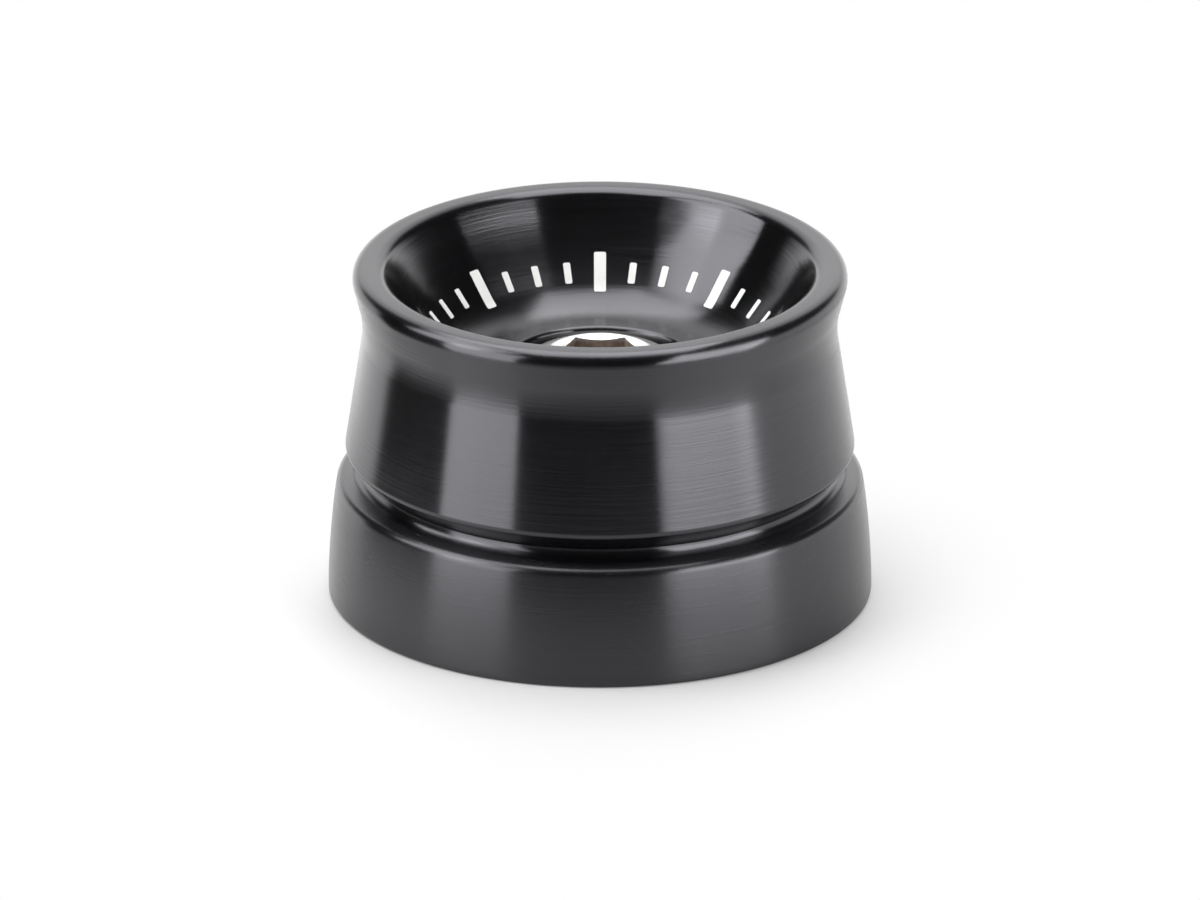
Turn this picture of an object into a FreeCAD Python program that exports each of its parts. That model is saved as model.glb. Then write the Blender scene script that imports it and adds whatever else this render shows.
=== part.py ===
# Handlebar end weight, standing on its rear face with its dished face up.
#
# A turned aluminium body carries a separate trim ring on a spigot at its rear. A short socket head
# cap screw passes through the dish, with its head in a counterbore and flush with the dish's floor,
# and its thread standing free in a recess in the rear face, where the handlebar's insert takes it.
# Millimetres and degrees, +Z along the weight's axis, origin at the centre of the base.

import FreeCAD, Part
import math
import os
import Sketcher


# Driving dimensions

SIZES = {
    # Trim ring
    "ring_diameter": 32.0,
    "ring_fall": 0.3,
    "ring_crown": 45.0,
    "ring_edge": 0.3,
    "ring_base_edge": 0.2,
    "ring_wall": 3.45,
    "ring_clearance": 0.05,
    "ring_bore_edge": 0.3,
    # Weight body, outside: each step inwards is measured from the ring's widest radius
    "overall_height": 20.2,
    "shoulder_height": 7.4,
    "groove_width": 0.6,
    "groove_depth": 1.0,
    "flank_angle": 45.0,
    "foot_step": 1.0,
    "waist_depth": 1.07,
    "waist_drop": 3.4,
    "waist_curve": 4.0,
    "lip_flare": 0.82,
    "lip_edge": 0.35,
    # Dish in the outer face
    "lip_width": 1.95,
    "mouth_edge": 0.8,
    "dish_depth": 5.95,
    "dish_blend": 3.5,
    "floor_land": 2.95,
    # Bore and rear recess
    "counterbore_clearance": 0.4,
    "bore_clearance": 0.3,
    "web_thickness": 2.25,
    "spigot_wall": 2.5,
    "spigot_recess": 0.2,
    "rear_edge": 0.4,
    # Cap screw
    "head_diameter": 10.0,
    "head_height": 6.0,
    "head_edge": 0.3,
    "neck_diameter": 5.35,
    "thread_diameter": 6.0,
    "thread_start": 0.2,
    "thread_chamfer": 0.6,
    "screw_setback": 0.25,
    "socket_width": 5.0,
    "socket_depth": 3.0,
    "socket_mouth_diameter": 6.0,
    "socket_mouth_angle": 40.0,
    "drill_point_angle": 30.0,
}

doc = FreeCAD.newDocument("HandlebarEndWeight")
sheet = doc.addObject("Spreadsheet::Sheet", "Sizes")
for row, (alias, size) in enumerate(SIZES.items(), start=1):
    sheet.set(f"A{row}", alias)
    sheet.set(f"B{row}", str(size))
    sheet.setAlias(f"B{row}", alias)
doc.recompute()


# Radii and heights of the outlines, each a formula of the sheet

ring_radius = "(Sizes.ring_diameter / 2)"
ring_bore_radius = f"({ring_radius} - Sizes.ring_wall)"
shoulder = "Sizes.shoulder_height"
ring_height = "(Sizes.shoulder_height - Sizes.ring_fall)"
crown_fall = f"(Sizes.ring_crown - sqrt(Sizes.ring_crown ^ 2 - {ring_height} ^ 2))"
ring_top_radius = f"({ring_radius} - {crown_fall})"

foot_radius = f"({ring_radius} - Sizes.foot_step)"
groove_radius = f"({foot_radius} - Sizes.groove_depth)"
groove_top = f"({shoulder} + Sizes.groove_width)"
foot_height = f"({groove_top} + Sizes.groove_depth * tan(Sizes.flank_angle * 1deg))"
waist_radius = f"({foot_radius} - Sizes.waist_depth)"
waist_height = "(Sizes.overall_height - Sizes.waist_drop)"
waist_centre = f"({waist_radius} + Sizes.waist_curve)"
lip_radius = f"({waist_radius} + Sizes.lip_flare)"
top = "Sizes.overall_height"

head_radius = "(Sizes.head_diameter / 2)"
counterbore_radius = f"({head_radius} + Sizes.counterbore_clearance)"
mouth_radius = f"({lip_radius} - Sizes.lip_width)"
dish_floor = "(Sizes.overall_height - Sizes.dish_depth)"
dish_floor_radius = f"({counterbore_radius} + Sizes.floor_land)"

screw_seat = f"({dish_floor} - Sizes.head_height)"
thread_radius = "(Sizes.thread_diameter / 2)"
neck_radius = "(Sizes.neck_diameter / 2)"
bore_radius = f"({thread_radius} + Sizes.bore_clearance)"
recess_roof = f"({screw_seat} - Sizes.web_thickness)"
thread_top = f"({recess_roof} - Sizes.thread_start)"
screw_tip = "Sizes.screw_setback"

spigot_end = "Sizes.spigot_recess"
spigot_radius = f"({ring_bore_radius} - Sizes.ring_clearance)"
recess_radius = f"({spigot_radius} - Sizes.spigot_wall)"

socket_radius = "(Sizes.socket_width / 2)"
socket_floor = f"({dish_floor} - Sizes.socket_depth)"
socket_mouth_radius = "(Sizes.socket_mouth_diameter / 2)"

ON_AXIS = "0"
BASE = "0"


# Sketching and turning

def size_of(formula):
    """What a formula of the sheet gives now: sketches are drawn there, then tied to the formula."""
    return float(sheet.evalExpression(formula))


def new_sketch(body, plane, name):
    """An empty sketch on one of the body's own origin planes."""
    sketch = body.newObject("Sketcher::SketchObject", name)
    datum = next(feature for feature in body.Origin.OriginFeatures if feature.Role == plane)
    sketch.AttachmentSupport = [(datum, "")]
    sketch.MapMode = "FlatFace"
    return sketch


def tie(sketch, constraint, formula):
    """Add a constraint whose size follows a formula."""
    index = sketch.addConstraint(constraint)
    sketch.setExpression(f"Constraints[{index}]", formula)


def tie_point(sketch, geometry, point, radius, height):
    """Tie a point of a line or an arc to its radius and height, or to the axis or base it lies on."""
    horizontal_axis, vertical_axis = -1, -2
    origin = (-1, 1)
    if radius == ON_AXIS:
        sketch.addConstraint(Sketcher.Constraint("PointOnObject", geometry, point, vertical_axis))
    else:
        across = Sketcher.Constraint("DistanceX", *origin, geometry, point, size_of(radius))
        tie(sketch, across, radius)
    if height == BASE:
        sketch.addConstraint(Sketcher.Constraint("PointOnObject", geometry, point, horizontal_axis))
    else:
        up = Sketcher.Constraint("DistanceY", *origin, geometry, point, size_of(height))
        tie(sketch, up, height)


def arc_between(start, end, centre, radius):
    """Arc that runs anticlockwise from start to end."""
    angles = [math.atan2(point.y - centre.y, point.x - centre.x) for point in (start, end)]
    circle = Part.Circle(centre, FreeCAD.Vector(0, 0, 1), radius)
    return Part.ArcOfCircle(circle, *angles)


def bulging_arc(start, end, radius):
    """The arc between two points that bulges to the right of the way from start to end."""
    chord = end - start
    to_centre = math.sqrt(radius ** 2 - (chord.Length / 2) ** 2)
    left = FreeCAD.Vector(-chord.y, chord.x, 0).normalize()
    return arc_between(start, end, (start + end) / 2 + left * to_centre, radius)


def touch_point(outside, centre, radius, side):
    """Where a line from an outside point touches a circle; side is 1 or -1."""
    way = centre - outside
    swing = side * math.asin(radius / way.Length)
    reach = math.sqrt(way.Length ** 2 - radius ** 2)
    heading = math.atan2(way.y, way.x) + swing
    return outside + FreeCAD.Vector(math.cos(heading), math.sin(heading), 0) * reach


def half_section(body, name, outline, crown=None):
    """Closed outline in the XZ plane, drawn anticlockwise.

    A pair is a corner: (radius, height). A triple is a hollow: the centre of an arc and the arc's
    radius, and the sides before and after run into that arc smoothly. The side that starts at the
    point crown[0] is itself an arc of the radius crown[1], and it bulges outwards.
    """
    sketch = new_sketch(body, "XZ_Plane", name)
    places = [FreeCAD.Vector(size_of(point[0]), size_of(point[1]), 0) for point in outline]
    arrivals = list(places)
    departures = list(places)
    hollows = [number for number, point in enumerate(outline) if len(point) == 3]
    for number in hollows:
        radius = size_of(outline[number][2])
        following = places[(number + 1) % len(places)]
        arrivals[number] = touch_point(places[number - 1], places[number], radius, 1)
        departures[number] = touch_point(following, places[number], radius, -1)

    for side, start in enumerate(departures):
        end = arrivals[(side + 1) % len(arrivals)]
        if crown and crown[0] == side:
            sketch.addGeometry(bulging_arc(start, end, size_of(crown[1])))
        else:
            sketch.addGeometry(Part.LineSegment(start, end))
    last_side = len(outline) - 1

    for side, point in enumerate(outline):
        before = side - 1 if side else last_side
        if side in hollows:
            radius = point[2]
            hollow = sketch.addGeometry(
                arc_between(departures[side], arrivals[side], places[side], size_of(radius))
            )
            sketch.addConstraint(Sketcher.Constraint("Tangent", before, 2, hollow, 2))
            sketch.addConstraint(Sketcher.Constraint("Tangent", hollow, 1, side, 1))
            tie_point(sketch, hollow, 3, point[0], point[1])
            tie(sketch, Sketcher.Constraint("Radius", hollow, size_of(radius)), radius)
        else:
            sketch.addConstraint(Sketcher.Constraint("Coincident", before, 2, side, 1))
            tie_point(sketch, side, 1, *point)
    if crown:
        tie(sketch, Sketcher.Constraint("Radius", crown[0], size_of(crown[1])), crown[1])
    return sketch


def turn(body, name, kind, outline, crown=None):
    """Turn a half section about the Z axis: a Revolution adds its material, a Groove cuts it."""
    sketch = half_section(body, f"{name}Section", outline, crown)
    feature = body.newObject(f"PartDesign::{kind}", name)
    feature.Profile = sketch
    feature.ReferenceAxis = (sketch, ["V_Axis"])
    feature.Angle = 360
    doc.recompute()
    return feature


def edge_work(body, name, kind, size, places):
    """Round (Fillet) or bevel (Chamfer) the circular edges at the given (radius, height) places."""
    base = body.Tip
    names = []
    for radius, height in places:
        for number, edge in enumerate(base.Shape.Edges, start=1):
            if not isinstance(edge.Curve, Part.Circle):
                continue
            same_radius = math.isclose(edge.Curve.Radius, size_of(radius), abs_tol=1e-4)
            same_height = math.isclose(edge.Curve.Center.z, size_of(height), abs_tol=1e-4)
            if same_radius and same_height:
                names.append(f"Edge{number}")
    feature = body.newObject(f"PartDesign::{kind}", name)
    feature.Base = (base, names)
    feature.setExpression("Radius" if kind == "Fillet" else "Size", size)
    doc.recompute()
    return feature


# Weight body: the outer form is turned first, then the dish, the stepped bore and the rear recess.
# From the shoulder up the outer form is a groove, an undercut flank, a cone that narrows to the
# waist, and a flare that widens again to the lip.

weight = doc.addObject("PartDesign::Body", "WeightBody")
weight.Label = "weight_body"

turn(weight, "OuterForm", "Revolution", [
    (ON_AXIS, spigot_end),
    (spigot_radius, spigot_end),
    (spigot_radius, shoulder),
    (groove_radius, shoulder),
    (groove_radius, groove_top),
    (foot_radius, foot_height),
    (waist_centre, waist_height, "Sizes.waist_curve"),
    (lip_radius, top),
    (ON_AXIS, top),
])
turn(weight, "Dish", "Groove", [
    (ON_AXIS, dish_floor),
    (dish_floor_radius, dish_floor),
    (mouth_radius, top),
    (ON_AXIS, top),
])
turn(weight, "ScrewBore", "Groove", [
    (ON_AXIS, recess_roof),
    (bore_radius, recess_roof),
    (bore_radius, screw_seat),
    (counterbore_radius, screw_seat),
    (counterbore_radius, dish_floor),
    (ON_AXIS, dish_floor),
])
turn(weight, "RearRecess", "Groove", [
    (ON_AXIS, spigot_end),
    (recess_radius, spigot_end),
    (recess_radius, recess_roof),
    (ON_AXIS, recess_roof),
])

edge_work(weight, "DishBlend", "Fillet", "Sizes.dish_blend", [(dish_floor_radius, dish_floor)])
edge_work(weight, "MouthEdge", "Fillet", "Sizes.mouth_edge", [(mouth_radius, top)])
edge_work(weight, "LipEdge", "Chamfer", "Sizes.lip_edge", [(lip_radius, top)])
edge_work(weight, "RearEdges", "Chamfer", "Sizes.rear_edge", [
    (spigot_radius, spigot_end),
    (recess_radius, spigot_end),
])


# Trim ring: barrel-shaped outside, seated on the spigot against the body's shoulder, with a top
# face that falls a little from the groove to the ring's outer edge

ring = doc.addObject("PartDesign::Body", "TrimRing")
ring.Label = "trim_ring"

turn(ring, "RingForm", "Revolution", [
    (ring_bore_radius, BASE),
    (ring_radius, BASE),
    (ring_top_radius, ring_height),
    (groove_radius, shoulder),
    (ring_bore_radius, shoulder),
], crown=(1, "Sizes.ring_crown"))

edge_work(ring, "RingEdge", "Chamfer", "Sizes.ring_edge", [(ring_top_radius, ring_height)])
edge_work(ring, "RingBaseEdge", "Chamfer", "Sizes.ring_base_edge", [(ring_radius, BASE)])
edge_work(ring, "RingBoreEdge", "Chamfer", "Sizes.ring_bore_edge", [(ring_bore_radius, BASE)])


# Cap screw: head, plain neck in the bore and thread below the web, then the hexagon socket with the
# cone that the drill leaves at its bottom and the bevel round its mouth

screw = doc.addObject("PartDesign::Body", "SocketScrew")
screw.Label = "socket_screw"

turn(screw, "ScrewForm", "Revolution", [
    (ON_AXIS, screw_tip),
    (thread_radius, screw_tip),
    (thread_radius, thread_top),
    (neck_radius, thread_top),
    (neck_radius, screw_seat),
    (head_radius, screw_seat),
    (head_radius, dish_floor),
    (ON_AXIS, dish_floor),
])
edge_work(screw, "HeadEdge", "Chamfer", "Sizes.head_edge", [(head_radius, dish_floor)])
edge_work(screw, "ThreadChamfer", "Chamfer", "Sizes.thread_chamfer", [(thread_radius, screw_tip)])


def hexagon(body, name, width, height):
    """Regular hexagon at a height, centred on the Z axis, with two of its flats along X."""
    sketch = new_sketch(body, "XY_Plane", name)
    sketch.setExpression("AttachmentOffset.Base.z", height)
    corner_radius = f"({width} / sqrt(3))"
    reach = size_of(corner_radius)
    headings = [math.radians(60 * corner) for corner in range(6)]
    corners = [FreeCAD.Vector(math.cos(heading), math.sin(heading), 0) * reach for heading in headings]
    for side in range(6):
        sketch.addGeometry(Part.LineSegment(corners[side], corners[(side + 1) % 6]))
    circle = sketch.addGeometry(Part.Circle(FreeCAD.Vector(), FreeCAD.Vector(0, 0, 1), reach), True)
    sketch.addConstraint(Sketcher.Constraint("Coincident", circle, 3, -1, 1))
    tie(sketch, Sketcher.Constraint("Radius", circle, reach), corner_radius)
    for side in range(6):
        sketch.addConstraint(Sketcher.Constraint("Coincident", side, 2, (side + 1) % 6, 1))
        sketch.addConstraint(Sketcher.Constraint("PointOnObject", side, 1, circle))
        if side:
            sketch.addConstraint(Sketcher.Constraint("Equal", 0, side))
    sketch.addConstraint(Sketcher.Constraint("Horizontal", 1))
    return sketch


socket = screw.newObject("PartDesign::Pocket", "HexSocket")
socket.Profile = hexagon(screw, "HexSocketSection", "Sizes.socket_width", dish_floor)
socket.setExpression("Length", "Sizes.socket_depth")
doc.recompute()
turn(screw, "DrillPoint", "Groove", [
    (ON_AXIS, f"({socket_floor} - {socket_radius} * tan(Sizes.drill_point_angle * 1deg))"),
    (socket_radius, socket_floor),
    (ON_AXIS, socket_floor),
])
turn(screw, "SocketMouth", "Groove", [
    (ON_AXIS, f"({dish_floor} - {socket_mouth_radius} * tan(Sizes.socket_mouth_angle * 1deg))"),
    (socket_mouth_radius, dish_floor),
    (ON_AXIS, dish_floor),
])


# Check the model, then write one file for each piece

doc.recompute()
for item in doc.Objects:
    if "Invalid" in item.State or "Error" in item.State:
        raise RuntimeError(f"{item.Label} failed: {item.State}")

os.makedirs("parts", exist_ok=True)
for body in (weight, ring, screw):
    if body.Shape.isNull() or not body.Shape.isValid():
        raise RuntimeError(f"{body.Label} has no valid shape")
    body.Shape.exportStep(f"parts/{body.Label}.step")
    print(f"{body.Label}: {body.Shape.Volume:.1f} cubic millimetres")
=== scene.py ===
# %% [markdown]
# # A handlebar end weight, dressed from its imported solids
#
# The object is a short turned weight for the end of a motorcycle's handlebar. It has three parts: a
# black body with a dished face and a flared lip, a black ring round its rear, and a steel cap screw
# at the bottom of the dish. The imported solids give the true sizes. This file makes finer copies of
# them, with the small roundings, the knurl and the thread that the solids leave out, adds the marks
# in the dish, and gives each piece its finish. Lengths are written in millimetres and turned into
# Blender's metres by MM.

# %% Load the solids
import math

import bpy
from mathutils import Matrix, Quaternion, Vector


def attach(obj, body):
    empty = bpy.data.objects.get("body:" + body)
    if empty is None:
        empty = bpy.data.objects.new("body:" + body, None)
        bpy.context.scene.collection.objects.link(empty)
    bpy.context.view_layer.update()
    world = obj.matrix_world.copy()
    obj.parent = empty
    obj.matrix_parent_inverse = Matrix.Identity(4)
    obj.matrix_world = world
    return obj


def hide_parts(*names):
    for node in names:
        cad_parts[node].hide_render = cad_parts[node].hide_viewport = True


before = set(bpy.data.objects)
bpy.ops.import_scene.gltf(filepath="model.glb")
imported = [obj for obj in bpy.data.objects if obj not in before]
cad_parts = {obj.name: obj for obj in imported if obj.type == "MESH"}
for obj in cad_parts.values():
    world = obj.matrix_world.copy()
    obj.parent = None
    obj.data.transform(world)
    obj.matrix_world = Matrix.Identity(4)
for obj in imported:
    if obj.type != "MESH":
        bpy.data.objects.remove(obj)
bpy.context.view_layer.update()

MM = 0.001
print("solids:", sorted(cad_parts))

# %% [markdown]
# ## How a turned piece is drawn
#
# A lathe makes shapes that are the same all the way round. One could draw half of the section and
# spin it, or start from a cylinder and inset it. Here a circle is the first edge, and each further
# corner of the section is that circle extruded again and taken to its own radius and height. The
# rings stay easy to find by their place, so each corner is then rounded by bevelling its own ring.

# %% Rings: the corners of a turned section
AROUND = 192
NEAR = 0.004 * MM
WELD = NEAR / 4


def start_ring(name, corner):
    """A circle round the axis at one (radius, height) corner, selected in edit mode."""
    radius, height = corner
    bpy.ops.object.select_all(action="DESELECT")
    bpy.ops.mesh.primitive_circle_add(
        vertices=AROUND, radius=radius * MM, location=(0, 0, height * MM)
    )
    piece = bpy.context.object
    piece.name = name
    piece.data.name = name
    bpy.ops.object.transform_apply(location=True, rotation=False, scale=False)
    bpy.ops.object.mode_set(mode="EDIT")
    bpy.ops.mesh.select_all(action="SELECT")
    return piece


def next_ring(here, there):
    """Extrude the selected ring, and take the new one from its corner to the next."""
    rise = (there[1] - here[1]) * MM
    growth = there[0] / here[0]
    bpy.ops.mesh.extrude_region_move(TRANSFORM_OT_translate={"value": (0, 0, rise)})
    bpy.ops.transform.resize(value=(growth, growth, 1), center_override=(0, 0, 0))


def merge_and_face_out():
    """Weld the places where the skin meets itself, then turn every face outwards."""
    bpy.ops.mesh.select_all(action="SELECT")
    bpy.ops.mesh.remove_doubles(threshold=WELD)
    bpy.ops.mesh.normals_make_consistent(inside=False)
    bpy.ops.object.mode_set(mode="OBJECT")


def turn_skin(name, corners):
    """A closed turned skin through a loop of (radius, height) corners."""
    piece = start_ring(name, corners[0])
    for here, there in zip(corners, corners[1:] + corners[:1]):
        next_ring(here, there)
    merge_and_face_out()
    return piece


# %% Roundings: bevel one ring at a time
SMOOTH_BELOW = math.radians(35)


def select_ring(piece, corner):
    """Select the edges that run round the axis at one corner."""
    radius, height = corner[0] * MM, corner[1] * MM
    bpy.ops.object.mode_set(mode="OBJECT")
    on_ring = [
        abs(math.hypot(v.co.x, v.co.y) - radius) < NEAR and abs(v.co.z - height) < NEAR
        for v in piece.data.vertices
    ]
    for element in (*piece.data.vertices, *piece.data.polygons):
        element.select = False
    for edge in piece.data.edges:
        edge.select = all(on_ring[index] for index in edge.vertices)
    bpy.ops.object.mode_set(mode="EDIT")
    bpy.ops.mesh.select_mode(type="EDGE")


def turn_between(before, corner, after):
    """How far the section's line turns at a corner, in radians."""
    arriving = Vector(corner) - Vector(before)
    leaving = Vector(after) - Vector(corner)
    return arriving.angle(leaving)


def round_corners(piece, corners, roundings):
    """Round corners of the section, each to its radius and in its number of steps.

    A single step makes a chamfer, as wide as the radius where the corner is square.
    """
    for corner, radius, steps in roundings:
        number = corners.index(corner)
        after = corners[(number + 1) % len(corners)]
        setback = radius * math.tan(turn_between(corners[number - 1], corner, after) / 2)
        select_ring(piece, corner)
        bpy.ops.mesh.bevel(
            offset=setback * MM,
            offset_type="OFFSET",
            segments=steps,
            affect="EDGES",
            clamp_overlap=False,
        )
        bpy.ops.object.mode_set(mode="OBJECT")


def smooth_turned(piece):
    """Smooth shading in which the broad faces keep their own direction."""
    bpy.ops.object.select_all(action="DESELECT")
    piece.select_set(True)
    bpy.context.view_layer.objects.active = piece
    bpy.ops.object.shade_smooth_by_angle(angle=SMOOTH_BELOW)
    weighted = piece.modifiers.new("BroadFaces", "WEIGHTED_NORMAL")
    weighted.keep_sharp = True
    bpy.ops.object.modifier_apply(modifier=weighted.name)
    print(piece.name, "has", len(piece.data.polygons), "faces")


# %% [markdown]
# ## The body
#
# The body is turned from one bar of aluminium. Above its shoulder come a groove with a round bottom,
# a flank at 45 degrees, a cone that narrows to a waist, and a lip that flares again. The face is a
# dish with a rounded mouth and a wide blend into its flat floor, and the screw's head sinks into a
# counterbore. The waist could be a ring of its own, but it is one corner where the cone's line and
# the flare's line cross, rounded to a large radius, because that keeps both lines straight up to the
# curve. The dish's wall is slightly hollow, and that is one corner with a very large radius too.

# %% The body's sizes
spigot_radius = 12.5
spigot_end = 0.2
recess_radius = 10.0
recess_roof = 6.0
bore_radius = 3.3
counterbore_radius = 5.4
screw_seat = 8.25
dish_floor = 14.25
shoulder = 7.15
groove_radius = 13.85
cove_radius = 0.62
cove_centre = (groove_radius + cove_radius, 7.85)
foot = (15.0, 9.0)
waist_centre = Vector((18.93, 16.45))
waist_curve = 5.0
lip_corner = (14.75, 20.2)
mouth_corner = (12.8, 20.2)
wall_corner = (11.5, 18.15)
dish_corner = (8.35, dish_floor)
dish_curve = 3.5
wall_curve = 18.0
mouth_rounding = 0.8
lip_rounding = 0.76
foot_rounding = 0.45
floor_rounding = 0.3
recess_rounding = 0.5
rear_chamfer = 0.4
bore_chamfer = 0.25


def tangent_from(corner, side):
    """Direction of the line from a corner that just touches the waist's circle."""
    way = waist_centre - Vector(corner)
    swing = side * math.asin(waist_curve / way.length)
    heading = math.atan2(way.y, way.x) + swing
    return Vector((math.cos(heading), math.sin(heading)))


def crossing(start, along, other, other_along):
    """Where two lines of the section cross."""
    gap = Vector(other) - Vector(start)
    across = along.x * other_along.y - along.y * other_along.x
    return Vector(start) + along * ((gap.x * other_along.y - gap.y * other_along.x) / across)


waist_corner = tuple(crossing(foot, tangent_from(foot, 1), lip_corner, tangent_from(lip_corner, -1)))
print("the cone and the flare cross at", [round(size, 2) for size in waist_corner])
cove_steps = 9


def cove():
    """The groove's round bottom, from its low outer end to its upright wall."""
    corners = []
    for number in range(cove_steps + 1):
        turn = math.pi / 2 * number / cove_steps
        corners.append((
            cove_centre[0] - cove_radius * math.sin(turn),
            cove_centre[1] - cove_radius * math.cos(turn),
        ))
    return corners


# %% Turn the body and round its corners
body_corners = [
    (bore_radius, recess_roof),
    (recess_radius, recess_roof),
    (recess_radius, spigot_end),
    (spigot_radius, spigot_end),
    (spigot_radius, shoulder),
    (cove_centre[0], shoulder),
    *cove(),
    foot,
    waist_corner,
    lip_corner,
    mouth_corner,
    wall_corner,
    dish_corner,
    (counterbore_radius, dish_floor),
    (counterbore_radius, screw_seat),
    (bore_radius, screw_seat),
]
body = turn_skin("turned_body", body_corners)
round_corners(body, body_corners, [
    (waist_corner, waist_curve, 14),
    (dish_corner, dish_curve, 14),
    (wall_corner, wall_curve, 8),
    (mouth_corner, mouth_rounding, 8),
    (lip_corner, lip_rounding, 9),
    (foot, foot_rounding, 5),
    ((counterbore_radius, dish_floor), floor_rounding, 4),
    ((recess_radius, recess_roof), recess_rounding, 5),
    ((recess_radius, spigot_end), rear_chamfer, 1),
    ((spigot_radius, spigot_end), rear_chamfer, 1),
    ((bore_radius, recess_roof), bore_chamfer, 1),
])
smooth_turned(body)

# %% [markdown]
# ## The ring
#
# The ring is a separate turned part, pushed on to the body's spigot. Its outside is slightly barrel
# shaped, and its top edge is rounded. The barrel is again one corner, half way up, rounded to a very
# large radius. A gap of a twentieth of a millimetre is left round the spigot, as on the solids.

# %% Turn the ring
ring_bore = 12.55
ring_base = (16.0, 0.0)
ring_crown = (16.0, 3.6)
ring_top = (15.44, 7.1)
ring_land = 7.295
cove_gap = 0.03
ring_step = cove_centre[0] + cove_gap
barrel_curve = 39.0
ring_rounding = 0.5
base_rounding = 0.2
ring_chamfer = 0.3
ring_corners = [
    (ring_bore, 0.0),
    ring_base,
    ring_crown,
    ring_top,
    (ring_step, ring_land),
    (ring_step, shoulder),
    (ring_bore, shoulder),
]
ring = turn_skin("end_ring", ring_corners)
round_corners(ring, ring_corners, [
    (ring_crown, barrel_curve, 14),
    (ring_top, ring_rounding, 7),
    (ring_base, base_rounding, 4),
    ((ring_bore, 0.0), ring_chamfer, 1),
])
smooth_turned(ring)

# %% [markdown]
# ## The cap screw
#
# A socket head cap screw has a head with a straight knurl, a low dome above it and a hexagon socket
# that was broached into a drilled hole, which leaves a cone at the bottom. The knurl could be a bump
# in the material, but the gap in the counterbore shows it from the side, so every second strip of the
# head's wall is inset and pushed in. The socket is cut with modifiers, because a cone that meets a
# hexagon gives curved edges that are slow to draw by hand.

# %% The head, with its knurl
head_radius = 5.0
head_foot = screw_seat
head_side = 13.6
dome_corner = (4.45, 14.25)
head_face = 14.8
face_radius = 3.1
knurl_strips = 144
knurl_low = head_foot + 0.5
knurl_high = head_side - 0.4
knurl_margin = 0.06
knurl_depth = 0.09

bpy.ops.object.select_all(action="DESELECT")
bpy.ops.mesh.primitive_cylinder_add(
    vertices=knurl_strips,
    radius=head_radius * MM,
    depth=(head_side - head_foot) * MM,
    location=(0, 0, (head_side + head_foot) / 2 * MM),
)
screw = bpy.context.object
screw.name = "cap_screw"
screw.data.name = "cap_screw"
bpy.ops.object.transform_apply(location=True, rotation=False, scale=False)
bpy.ops.object.mode_set(mode="EDIT")
for height in (knurl_low, knurl_high):
    bpy.ops.mesh.select_all(action="SELECT")
    bpy.ops.mesh.bisect(plane_co=(0, 0, height * MM), plane_no=(0, 0, 1))
bpy.ops.object.mode_set(mode="OBJECT")
strip_angle = math.tau / knurl_strips


def select_faces(piece, chosen):
    """Open edit mode with only the faces selected that pass a test."""
    for element in (*piece.data.vertices, *piece.data.edges):
        element.select = False
    for face in piece.data.polygons:
        face.select = chosen(face)
    print(chosen.__name__, "finds", sum(face.select for face in piece.data.polygons), "faces")
    bpy.ops.object.mode_set(mode="EDIT")
    bpy.ops.mesh.select_mode(type="FACE")


def in_knurl(face):
    """Every second strip of the wall, between the two cuts."""
    if not knurl_low * MM < face.center.z < knurl_high * MM or abs(face.normal.z) > 0.5:
        return False
    return round(math.atan2(face.center.y, face.center.x) / strip_angle - 0.5) % 2 == 0


select_faces(screw, in_knurl)
bpy.ops.mesh.inset(thickness=knurl_margin * MM, depth=-knurl_depth * MM, use_individual=True)
bpy.ops.object.mode_set(mode="OBJECT")

# %% Raise the low dome of the head and round its edges
dome_curve = 1.6
head_rounding = 0.3
head_foot_rounding = 0.2
head_corners = [
    (0.0, head_foot),
    (head_radius, head_foot),
    (head_radius, head_side),
    dome_corner,
    (face_radius, head_face),
    (0.0, head_face),
]


def on_top(face):
    """The flat end of the head."""
    return face.center.z > head_side * MM - NEAR and face.normal.z > 0.9


select_faces(screw, on_top)
next_ring((head_radius, head_side), dome_corner)
next_ring(dome_corner, (face_radius, head_face))
bpy.ops.object.mode_set(mode="OBJECT")
round_corners(screw, head_corners, [
    (dome_corner, dome_curve, 6),
    ((face_radius, head_face), head_rounding, 3),
    ((head_radius, head_side), head_rounding, 3),
    ((head_radius, head_foot), head_foot_rounding, 2),
])

# %% Cut the socket
socket_width = 5.0
socket_floor = dish_floor - 3.0
socket_turn = math.radians(30)
drill_tip = 9.81
drill_radius = 2.49
drill_overlap = 0.02
mouth_radius = 2.98
mouth_slope = math.tan(math.radians(25))
past_face = 1.0
cone_sides = 96


def cut_with(piece, tool, name, operation="DIFFERENCE"):
    """Use one solid as a tool on another, put the tool away and weld what the cut left double."""
    bpy.ops.object.select_all(action="DESELECT")
    piece.select_set(True)
    bpy.context.view_layer.objects.active = piece
    cut = piece.modifiers.new(name, "BOOLEAN")
    cut.operation = operation
    cut.solver = "EXACT"
    cut.object = tool
    bpy.ops.object.modifier_apply(modifier=cut.name)
    bpy.data.objects.remove(tool)
    bpy.ops.object.mode_set(mode="EDIT")
    merge_and_face_out()


def cone_tool(low, low_radius, high, high_radius, around):
    """A cone or cylinder round the axis, from one height to another."""
    bpy.ops.object.select_all(action="DESELECT")
    bpy.ops.mesh.primitive_cone_add(
        vertices=around,
        radius1=low_radius * MM,
        radius2=high_radius * MM,
        depth=(high - low) * MM,
        location=(0, 0, (high + low) / 2 * MM),
    )
    tool = bpy.context.object
    bpy.ops.object.transform_apply(location=True, rotation=False, scale=False)
    return tool


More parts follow.
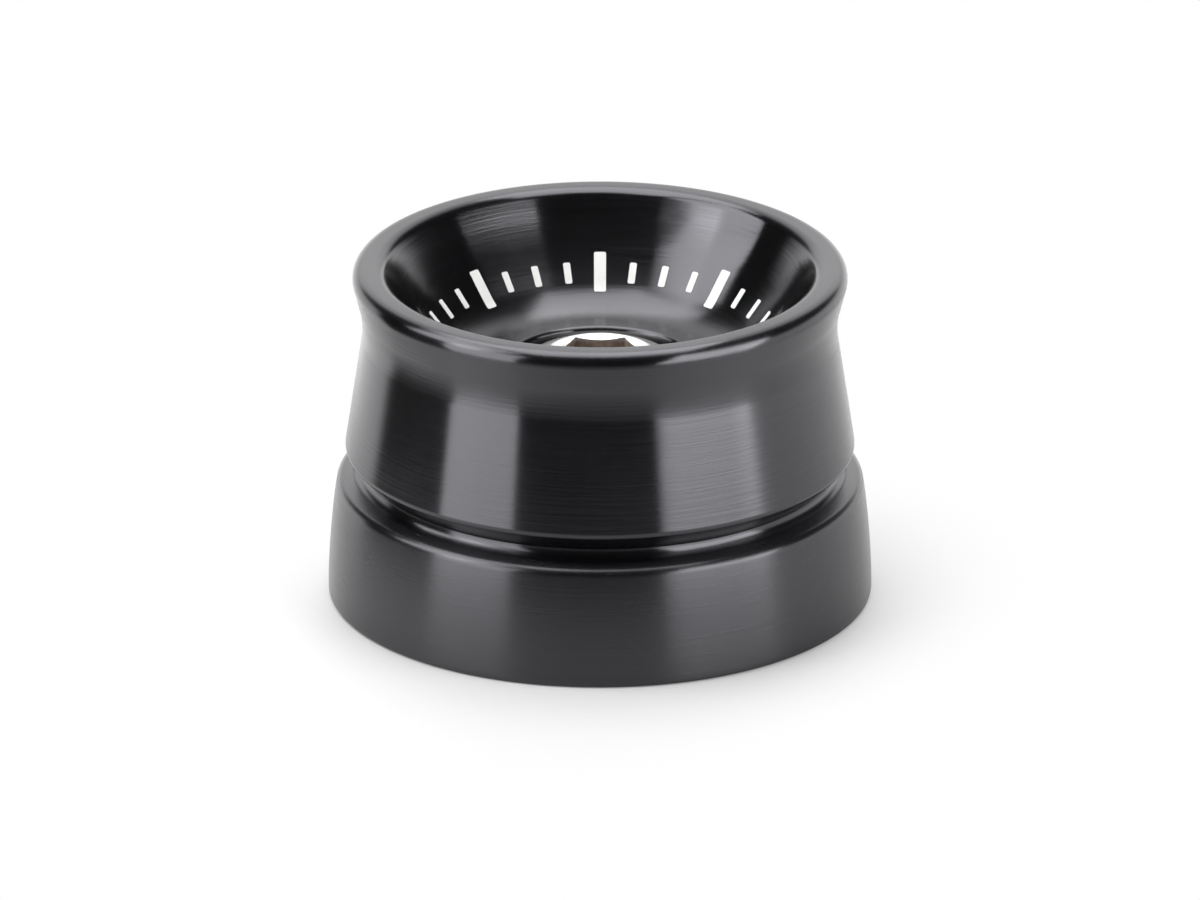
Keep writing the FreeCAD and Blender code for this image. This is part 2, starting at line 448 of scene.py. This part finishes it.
above = head_face + past_face
to_corner = socket_width / math.sqrt(3)
hexagon = cone_tool(socket_floor, to_corner, above, to_corner, 6)
bpy.ops.object.mode_set(mode="EDIT")
bpy.ops.mesh.select_all(action="SELECT")
bpy.ops.transform.rotate(value=socket_turn, orient_axis="Z", center_override=(0, 0, 0))
bpy.ops.object.mode_set(mode="OBJECT")
cut_with(screw, hexagon, "Hexagon")
drill = cone_tool(drill_tip, 0.0, socket_floor + drill_overlap, drill_radius, cone_sides)
cut_with(screw, drill, "DrillPoint")
bevel_low = head_face - mouth_radius * mouth_slope
mouth = cone_tool(bevel_low, 0.0, above, mouth_radius + past_face / mouth_slope, cone_sides)
cut_with(screw, mouth, "SocketMouth")
print("head after the cuts:", len(screw.data.polygons), "faces")

# %% [markdown]
# ## The thread
#
# Below the web the screw shows its M6 thread in the rear recess. A row of plain rings would look
# right from far off, but a thread is one ridge that climbs a millimetre each turn. So a small
# triangle is wound round the core with the Screw modifier, its two ends are closed, and the ridge is
# cut to the bar's size with the bevel that every screw has at its tip.

# %% Core and ridge
thread_radius = 3.0
core_radius = 2.42
neck_radius = 2.675
screw_tip = 0.25
thread_top = 5.8
pitch = 1.0
tooth_half = 0.49
tooth_root = core_radius - 0.08
tooth_tip = thread_radius + 0.04
turns = 6
steps_per_turn = 64
axis_radius = 0.02
core_chamfer = 0.25
neck_slope = 0.2
neck_top = head_foot + 0.3

core_corners = [
    (axis_radius, screw_tip),
    (core_radius - core_chamfer, screw_tip),
    (core_radius, screw_tip + core_chamfer),
    (core_radius, thread_top - neck_slope),
    (neck_radius, thread_top),
    (neck_radius, neck_top),
    (axis_radius, neck_top),
]
core = turn_skin("screw_core", core_corners)

bpy.ops.object.select_all(action="DESELECT")
bpy.ops.mesh.primitive_circle_add(vertices=3, radius=pitch * MM, rotation=(math.pi / 2, 0, 0))
ridge = bpy.context.object
ridge.name = "screw_ridge"
bpy.ops.object.transform_apply(location=True, rotation=True, scale=False)
lowest = screw_tip - pitch
for corner, (radius, height) in zip(ridge.data.vertices, (
    (tooth_tip, lowest),
    (tooth_root, lowest - tooth_half),
    (tooth_root, lowest + tooth_half),
)):
    corner.co = (radius * MM, 0, height * MM)
winding = ridge.modifiers.new("Winding", "SCREW")
winding.axis = "Z"
winding.angle = math.tau
winding.screw_offset = pitch * MM
winding.iterations = turns
winding.steps = steps_per_turn
winding.render_steps = steps_per_turn
bpy.ops.object.modifier_apply(modifier=winding.name)
bpy.ops.object.mode_set(mode="EDIT")
bpy.ops.mesh.select_all(action="SELECT")
bpy.ops.mesh.fill_holes(sides=3)
merge_and_face_out()

# %% Cut the ridge to the bar and fit it on the core
tip_bevel = 0.6
thread_run_out = 0.3
bar_corners = [
    (axis_radius, screw_tip),
    (thread_radius - tip_bevel, screw_tip),
    (thread_radius, screw_tip + tip_bevel),
    (thread_radius, thread_top - thread_run_out),
    (core_radius, thread_top),
    (axis_radius, thread_top),
]
bar = turn_skin("bar", bar_corners)
cut_with(ridge, bar, "Bar", "INTERSECT")
print("thread ridge:", len(ridge.data.polygons), "faces")
bpy.ops.object.select_all(action="DESELECT")
for part in (ridge, core, screw):
    part.select_set(True)
bpy.context.view_layer.objects.active = screw
bpy.ops.object.join()
smooth_turned(screw)

# %% [markdown]
# ## The marks in the dish
#
# The dish's wall carries a plain scale of long and short marks in white ink. They could be a pattern
# in the black's material, but ink is a film of its own, with crisp round ends. So a mark is drawn as
# a flat strip, laid on the wall with Shrinkwrap and given a few hundredths of thickness. One long and
# one short mark are made, and the scale is copies of them, turned round the axis.

# %% One long and one short mark
wall_slope = math.atan2(lip_corner[1] - dish_floor, mouth_corner[0] - dish_corner[0])
ink_height = 16.1
ink_radius = 9.72
ink_thickness = 0.04
end_rounding = 0.1


def make_mark(name, width, length):
    """A flat strip with rounded ends, laid on the back of the dish's wall."""
    bpy.ops.object.select_all(action="DESELECT")
    bpy.ops.mesh.primitive_grid_add(
        x_subdivisions=2,
        y_subdivisions=10,
        size=1.0 * MM,
        location=(0, ink_radius * MM, ink_height * MM),
        rotation=(wall_slope, 0, 0),
    )
    mark = bpy.context.object
    mark.name = name
    mark.data.name = name
    mark.scale = (width, length, 1)
    bpy.ops.object.transform_apply(location=True, rotation=True, scale=True)
    bpy.ops.object.mode_set(mode="EDIT")
    bpy.ops.mesh.select_all(action="DESELECT")
    bpy.ops.object.mode_set(mode="OBJECT")
    side = width / 2 * MM - NEAR
    ends = sorted(v.co.z for v in mark.data.vertices)
    for vertex in mark.data.vertices:
        at_end = vertex.co.z < ends[0] + NEAR or vertex.co.z > ends[-1] - NEAR
        vertex.select = abs(vertex.co.x) > side and at_end
    bpy.ops.object.mode_set(mode="EDIT")
    bpy.ops.mesh.select_mode(type="VERT")
    bpy.ops.mesh.bevel(offset=end_rounding * MM, segments=3, affect="VERTICES")
    bpy.ops.object.mode_set(mode="OBJECT")
    laid = mark.modifiers.new("Laid", "SHRINKWRAP")
    laid.target = body
    laid.wrap_method = "NEAREST_SURFACEPOINT"
    laid.wrap_mode = "ON_SURFACE"
    bpy.ops.object.modifier_apply(modifier=laid.name)
    thick = mark.modifiers.new("Ink", "SOLIDIFY")
    thick.thickness = ink_thickness * MM
    thick.offset = 0.0
    bpy.ops.object.modifier_apply(modifier=thick.name)
    print(name, "is", width, "by", length, "mm")
    return mark


long_mark = make_mark("long_mark", 0.7, 2.5)
short_mark = make_mark("short_mark", 0.42, 1.3)


# %% Repeat them round the dish
def turned_copy(mark, turn):
    """One more such mark, with a mesh of its own, turned round the axis."""
    bpy.ops.object.select_all(action="DESELECT")
    mark.select_set(True)
    bpy.context.view_layer.objects.active = mark
    bpy.ops.object.duplicate(linked=False)
    bpy.ops.object.mode_set(mode="EDIT")
    bpy.ops.mesh.select_all(action="SELECT")
    bpy.ops.transform.rotate(value=turn, orient_axis="Z", center_override=(0, 0, 0))
    bpy.ops.object.mode_set(mode="OBJECT")
    return bpy.context.object


marks_round = 32
long_every = 4
marks = []
for number in range(marks_round):
    pattern = short_mark if number % long_every else long_mark
    marks.append(turned_copy(pattern, math.tau * number / marks_round))
for pattern in (long_mark, short_mark):
    bpy.data.objects.remove(pattern)
bpy.ops.object.select_all(action="DESELECT")
for mark in marks:
    mark.select_set(True)
scale_marks = marks[0]
bpy.context.view_layer.objects.active = scale_marks
bpy.ops.object.join()
scale_marks.name = "dial_marks"
scale_marks.data.name = "dial_marks"
print("marks:", len(scale_marks.data.polygons), "faces")

# %% [markdown]
# ## Finishes as expressions
#
# A node tree is easier to read as arithmetic. The class below wraps one socket: adding or multiplying
# two of them adds the Math node, and any other node comes from its node method.

# %% A wire through a node tree
class Wire:
    """One value on its way through a node tree."""

    def __init__(self, tree, socket=None):
        self.tree = tree
        self.socket = socket

    def node(self, kind, settings=None, sockets=None, output=0):
        """Add a node: its settings first, then the value or wire of each socket."""
        made = self.tree.nodes.new(kind)
        for name, setting in (settings or {}).items():
            setattr(made, name, setting)
        for name, source in (sockets or {}).items():
            if isinstance(source, Wire):
                self.tree.links.new(source.socket, made.inputs[name])
            else:
                made.inputs[name].default_value = source
        return Wire(self.tree, made.outputs[output])

    def math(self, operation, first, second):
        return self.node("ShaderNodeMath", {"operation": operation}, {0: first, 1: second})

    def __add__(self, other):
        return self.math("ADD", self, other)

    __radd__ = __add__

    def __sub__(self, other):
        return self.math("SUBTRACT", self, other)

    def __rsub__(self, other):
        return self.math("SUBTRACT", other, self)

    def __mul__(self, other):
        return self.math("MULTIPLY", self, other)

    __rmul__ = __mul__

    def __pow__(self, other):
        return self.math("POWER", self, other)

    def step(self, low, high):
        """0 up to one value and 1 past the other, with a soft change between them."""
        sockets = {"Value": self, "From Min": low, "From Max": high}
        return self.node("ShaderNodeMapRange", {"interpolation_type": "SMOOTHSTEP"}, sockets)

    def mix(self, first, second):
        """A colour between two, by this wire."""
        settings = {"data_type": "RGBA"}
        return self.node("ShaderNodeMix", settings, {0: self, 6: first, 7: second}, output=2)

    def parts(self, axes):
        """The wires of a vector's named parts."""
        return [self.node("ShaderNodeSeparateXYZ", {}, {"Vector": self}, axis) for axis in axes]

    def noise(self, place, scale, detail):
        """Cloudy values round a half. At a scale of 1 a cloud is about as wide as a unit."""
        sockets = {"Vector": place, "Scale": scale, "Detail": detail, "Roughness": 0.6}
        return self.node("ShaderNodeTexNoise", {"noise_dimensions": "3D"}, sockets)

    def bump(self, height, strength, distance):
        """A normal that follows a height, for a depth in millimetres."""
        sockets = {"Strength": strength, "Distance": distance * MM, "Height": height}
        return self.node("ShaderNodeBump", {}, sockets)


def new_finish(name):
    """A material with one Principled shader. Returns it, its shader and a wire to start from."""
    finish = bpy.data.materials.new(name)
    finish.use_nodes = True
    shader = finish.node_tree.nodes["Principled BSDF"]
    return finish, shader, Wire(finish.node_tree)


def plug(shader, sockets):
    """Set a shader's sockets to constants, or link wires to them."""
    for name, source in sockets.items():
        if isinstance(source, Wire):
            source.tree.links.new(source.socket, shader.inputs[name])
        else:
            shader.inputs[name].default_value = source


def in_millimetres(start):
    """Each point's own place on its piece, in millimetres."""
    metres = start.node("ShaderNodeTexCoord", output="Object")
    return start.node("ShaderNodeVectorMath", {"operation": "SCALE"}, {0: metres, "Scale": 1 / MM})


def on_section(place):
    """A place's radius and height on a turned piece, and its point of the section."""
    x, y, height = place.parts("XYZ")
    radius = (x * x + y * y) ** 0.5
    section = place.node("ShaderNodeCombineXYZ", {}, {"X": radius, "Z": height})
    return radius, height, section


# %% [markdown]
# ## Black anodising on a turned surface
#
# Anodising is a thin, hard, glassy layer, dyed black. It could be a black metal, but its shine is
# that of a coat and not of bare metal, so the shader isn't metallic, its index of refraction is that
# of the oxide, and the shine is tinted a little towards blue. The tool has left fine marks. Half of
# them are rings, from a noise that reads only the radius and the height, and half are streaks, from a
# noise that is drawn out level. Anisotropy stretches the shine across them, which is why a lamp's
# reflection runs up the weight as a long band. The dish's wall is finished a little finer.

# %% The finish of the body and the ring
quarter_turn = 0.25


def turned_anodising(name, black, roughness, stretch, mark_depth):
    """Dyed oxide on turned metal, with an average roughness and a stretch across the marks."""
    finish, shader, start = new_finish(name)
    place = in_millimetres(start)
    radius, height, section = on_section(place)
    rings = start.noise(section, scale=6.0, detail=3.0)
    squeeze = {0: place, 1: (0.04, 0.04, 1.0)}
    drawn_out = start.node("ShaderNodeVectorMath", {"operation": "MULTIPLY"}, squeeze)
    streaks = start.noise(drawn_out, scale=7.0, detail=3.0)
    clouds = start.noise(place, scale=0.35, detail=3.0)
    marks_of_tool = rings * 0.5 + streaks * 0.5
    tone = marks_of_tool * 0.5 + clouds * 0.5
    lighter = tuple(part * 1.7 for part in black)
    colour = tone.step(0.3, 0.75).mix((*black, 1), (*lighter, 1))
    inside_mouth = 1 - radius.step(mouth_corner[0] - 0.2, mouth_corner[0] + 0.2)
    in_dish = height.step(dish_floor + 0.95, dish_floor + 2.95) * inside_mouth
    uneven = (marks_of_tool - 0.5) * 0.12 + (clouds - 0.5) * 0.05
    plug(shader, {
        "Base Color": colour,
        "Roughness": roughness + uneven - in_dish * 0.06,
        "Normal": start.bump(marks_of_tool, strength=mark_depth, distance=0.02),
        "IOR": 1.65,
        "Specular Tint": (0.93, 0.93, 1.0, 1),
        "Anisotropic": stretch,
        "Anisotropic Rotation": quarter_turn,
    })
    print("finish:", name, "with", len(finish.node_tree.nodes), "nodes")
    return finish


body_black = (0.0010, 0.0010, 0.0012)
ring_black = (0.0016, 0.0016, 0.0018)
body_finish = turned_anodising("black_anodised_turned", body_black, 0.205, 0.95, 0.55)
ring_finish = turned_anodising("black_anodised_satin", ring_black, 0.26, 0.85, 0.4)

# %% [markdown]
# ## The screw's steel
#
# A stainless screw is bright on its dome and more satin on the face round the socket. Inside, the
# broached walls are rough, and are painted a dim brown and the drilled floor darker still, as painted
# shade in the recess. Three materials could be given to three sets of faces, but their edges would be
# hard. One material that blends its colours by radius and height keeps them soft, as shade in a
# recess is.

# %% The screw's finish
def turned_steel(name):
    """Turned steel with a satin face, and a broached and drilled socket painted dim as shade."""
    finish, shader, start = new_finish(name)
    place = in_millimetres(start)
    radius, height, section = on_section(place)
    rings = start.noise(section, scale=9.0, detail=3.0)
    clouds = start.noise(place, scale=0.8, detail=4.0)
    below_face = 1 - height.step(head_face - 0.36, head_face - 0.2)
    inside_socket = 1 - radius.step(mouth_radius - 0.08, mouth_radius)
    deep = below_face * inside_socket * height.step(head_foot, head_foot + 0.5)
    bright = clouds.step(0.3, 0.7).mix((0.62, 0.61, 0.59, 1), (0.70, 0.69, 0.67, 1))
    spots = start.noise(place, scale=2.2, detail=3.0).step(0.2, 0.8)
    # Painted shade in the socket: dim brown, less metallic walls and a darker drilled floor.
    shaded_socket_wall = spots.mix((0.22, 0.16, 0.13, 1), (0.40, 0.32, 0.27, 1))
    shaded_socket_floor = rings.step(0.3, 0.7).mix((0.075, 0.070, 0.066, 1), (0.11, 0.103, 0.096, 1))
    on_wall = height.step(socket_floor + 0.1, socket_floor + 0.6)
    colour = deep.mix(bright, on_wall.mix(shaded_socket_floor, shaded_socket_wall))
    satin = (1 - radius.step(face_radius - 0.1, face_radius + 0.15)) * (1 - deep)
    plug(shader, {
        "Base Color": colour,
        "Roughness": 0.16 + satin * 0.24 + rings * 0.1 + clouds * 0.08,
        "Normal": start.bump(rings, strength=0.2, distance=0.02),
        "Metallic": 1 - deep * on_wall * 0.6,
    })
    print("finish:", name, "with", len(finish.node_tree.nodes), "nodes")
    return finish


steel_finish = turned_steel("stainless_steel")

# %% [markdown]
# ## The ink
#
# Printed ink is a matt film and never quite even. A plain pale colour would look like plastic, so a
# fine grain varies its white and its roughness, and lifts its surface by a hundredth of a millimetre.

# %% The marks' finish
def white_ink(name):
    """Matt white ink with a fine grain."""
    finish, shader, start = new_finish(name)
    grain = start.noise(in_millimetres(start), scale=12.0, detail=3.0)
    plug(shader, {
        "Base Color": grain.step(0.25, 0.75).mix((0.64, 0.64, 0.63, 1), (0.72, 0.72, 0.71, 1)),
        "Roughness": grain * 0.2 + 0.4,
        "Normal": start.bump(grain, strength=0.15, distance=0.01),
    })
    print("finish:", name, "with", len(finish.node_tree.nodes), "nodes")
    return finish


ink_finish = white_ink("white_ink")

# %% Give each piece its finish and its place in the frame
for piece, finish, slot, node in (
    (body, body_finish, "body_anodised", "weight_body"),
    (ring, ring_finish, "ring_anodised", "trim_ring"),
    (screw, steel_finish, "stainless", "socket_screw"),
):
    piece.data.materials.clear()
    piece.data.materials.append(finish)
    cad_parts[node].data.materials[0] = finish
    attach(piece, "root")
    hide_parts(node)
scale_marks.data.materials.append(ink_finish)
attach(scale_marks, "root")

# %% [markdown]
# ## The small studio
#
# The weight stands on a small pale sheet between two soft boxes, with two more above it, in a room
# that is white behind and dark in front. One big white room would light it too, but it is the dark
# between the boxes, and the sheet's front painted grey as shade, that make a black surface look
# black. The box on the right is rolled a little, which slants its reflection in the dish. The camera
# sees pure white past the sheet. A hole in the sheet, hidden under the weight, lets a view from below
# show its rear.

# %% The sheet it stands on
sheet_radius = 70.0
sheet_centre = (26.0, -10.0)
sheet_gap = 0.02
hole_radius = 15.0
bpy.ops.object.select_all(action="DESELECT")
bpy.ops.mesh.primitive_circle_add(
    vertices=128, radius=hole_radius * MM, location=(0, 0, -sheet_gap * MM)
)
floor = bpy.context.object
bpy.ops.object.transform_apply(location=True, rotation=False, scale=False)
bpy.ops.object.mode_set(mode="EDIT")
bpy.ops.mesh.select_all(action="SELECT")
next_ring((hole_radius, 0.0), (sheet_radius, 0.0))
bpy.ops.transform.translate(value=(sheet_centre[0] * MM, sheet_centre[1] * MM, 0))
bpy.ops.mesh.select_all(action="SELECT")
bpy.ops.mesh.normals_make_consistent(inside=False)
bpy.ops.object.mode_set(mode="OBJECT")
if floor.data.polygons[0].normal.z < 0:
    floor.data.flip_normals()
floor.name = "floor"
print("the sheet is", 2 * sheet_radius, "mm across")

# %% Its pale look, grey in front as painted shade, which turns to pure white away from the weight
sheet_finish, sheet_shader, start = new_finish("pale_sheet")
place = in_millimetres(start)
to_right, to_back = place.parts("XY")
radius = (to_right * to_right + to_back * to_back) ** 0.5
grain = start.noise(place, scale=0.05, detail=2.0)
pale = grain.mix((0.56, 0.56, 0.56, 1), (0.58, 0.58, 0.58, 1))
# From 22 to 50 mm in front of the weight the sheet is painted grey: painted shade that the black
# reflects.
grey_from, grey_to = -22.0, -50.0
plug(sheet_shader, {
    "Base Color": to_back.step(grey_from, grey_to).mix(pale, (0.22, 0.22, 0.22, 1)),
    "Roughness": 0.6,
})
seen = start.node("ShaderNodeLightPath", output="Is Camera Ray")
white = start.node("ShaderNodeEmission", {}, {"Color": (1, 1, 1, 1), "Strength": 1.0})
fade_from, fade_to = 13.0, 31.0
least_white = 0.02
# The white comes nearer on the right, which paints light over the weight's shadow on that side.
fade = (radius + to_right * 0.15).step(fade_from, fade_to)
share = seen * (least_white + (1 - least_white) * fade)
sheet_look = start.node("ShaderNodeMixShader", {}, {
    0: share,
    1: Wire(start.tree, sheet_shader.outputs[0]),
    2: white,
})
output = sheet_finish.node_tree.nodes["Material Output"]
sheet_finish.node_tree.links.new(sheet_look.socket, output.inputs["Surface"])
floor.data.materials.append(sheet_finish)

# %% The room
world = bpy.data.worlds.new("studio")
bpy.context.scene.world = world
world.use_nodes = True
room = Wire(world.node_tree)
looking = room.node("ShaderNodeTexCoord", output="Generated")
towards_back = Vector((0.45, 0.893, 0.0))
behind = room.node(
    "ShaderNodeVectorMath", {"operation": "DOT_PRODUCT"}, {0: looking, 1: towards_back}, output="Value"
)
backwards, upwards = looking.parts("YZ")
straight_back = backwards * (1 - upwards * upwards) ** -0.5
dark_room, white_wall, back_strip = 0.045, 1.55, 1.7
wall = behind.step(-0.02, 0.14) * (1 - upwards.step(0.12, 0.30))
strip = straight_back.step(0.80, 0.92) * upwards.step(0.14, 0.34) * (1 - upwards.step(0.76, 0.84))
level = dark_room + wall * (white_wall - dark_room) + strip * (back_strip - dark_room)
camera_ray = room.node("ShaderNodeLightPath", output="Is Camera Ray")
strength = camera_ray + (1 - camera_ray) * level
background = world.node_tree.nodes["Background"]
background.inputs["Color"].default_value = (1, 1, 1, 1)
world.node_tree.links.new(strength.socket, background.inputs["Strength"])
print("the room's light:", dark_room, "in front,", white_wall, "behind,", back_strip, "in the strip")

# %% The soft boxes
LAMP_POWER = 4.0


def soft_box(name, azimuth, elevation, distance, width, tall, brightness, roll=0):
    """A flat lamp that faces the weight. Azimuth 0 is the camera's side, and 90 is the right.

    Angles are in degrees, the distance and the lamp's two sides are in metres, and a lamp's power
    grows with its area, so that the same brightness looks the same on each.
    """
    heading, rise = math.radians(azimuth), math.radians(elevation)
    bpy.ops.object.light_add(type="AREA")
    lamp = bpy.context.object
    lamp.name = name
    lamp.data.shape = "RECTANGLE"
    lamp.data.size = width
    lamp.data.size_y = tall
    lamp.data.energy = brightness * width * tall * LAMP_POWER
    level = Vector((math.sin(heading), -math.cos(heading), 0))
    away = level * math.cos(rise) + Vector((0, 0, math.sin(rise)))
    lamp.location = away * distance
    turned = Quaternion((0, 0, 1), math.radians(roll))
    lamp.rotation_euler = ((-away).to_track_quat("-Z", "Y") @ turned).to_euler()
    lamp.visible_camera = False
    print(name, "with", round(lamp.data.energy, 2), "W")


soft_box("right_box", 54, 9, 0.46, 0.39, 0.54, 4.5, roll=-20)
soft_box("left_box", -56, 9, 0.46, 0.30, 0.54, 3.1)
soft_box("high_left_box", -83, 44, 0.50, 0.34, 0.34, 3.7)
soft_box("top_box", -165, 76, 0.50, 0.40, 0.44, 3.8)

# %% The camera, at the photograph's angle
elevation = math.radians(21.6)
distance = 1.2
pixels_per_millimetre = 17.0
frame_width = 1200
sensor_width = 36.0
target = Vector((0, 0, 8.6 * MM))

bpy.ops.object.camera_add()
camera = bpy.context.object
camera.data.sensor_width = sensor_width
camera.data.lens = sensor_width * pixels_per_millimetre * distance / MM / frame_width
back = Vector((0, -math.cos(elevation), math.sin(elevation)))
camera.location = target + back * distance
camera.rotation_euler = (-back).to_track_quat("-Z", "Y").to_euler()
camera.data.clip_start = 0.05
camera.data.clip_end = 20
bpy.context.scene.camera = camera
bpy.context.scene.view_settings.view_transform = "Standard"
print("lens:", round(camera.data.lens), "mm")
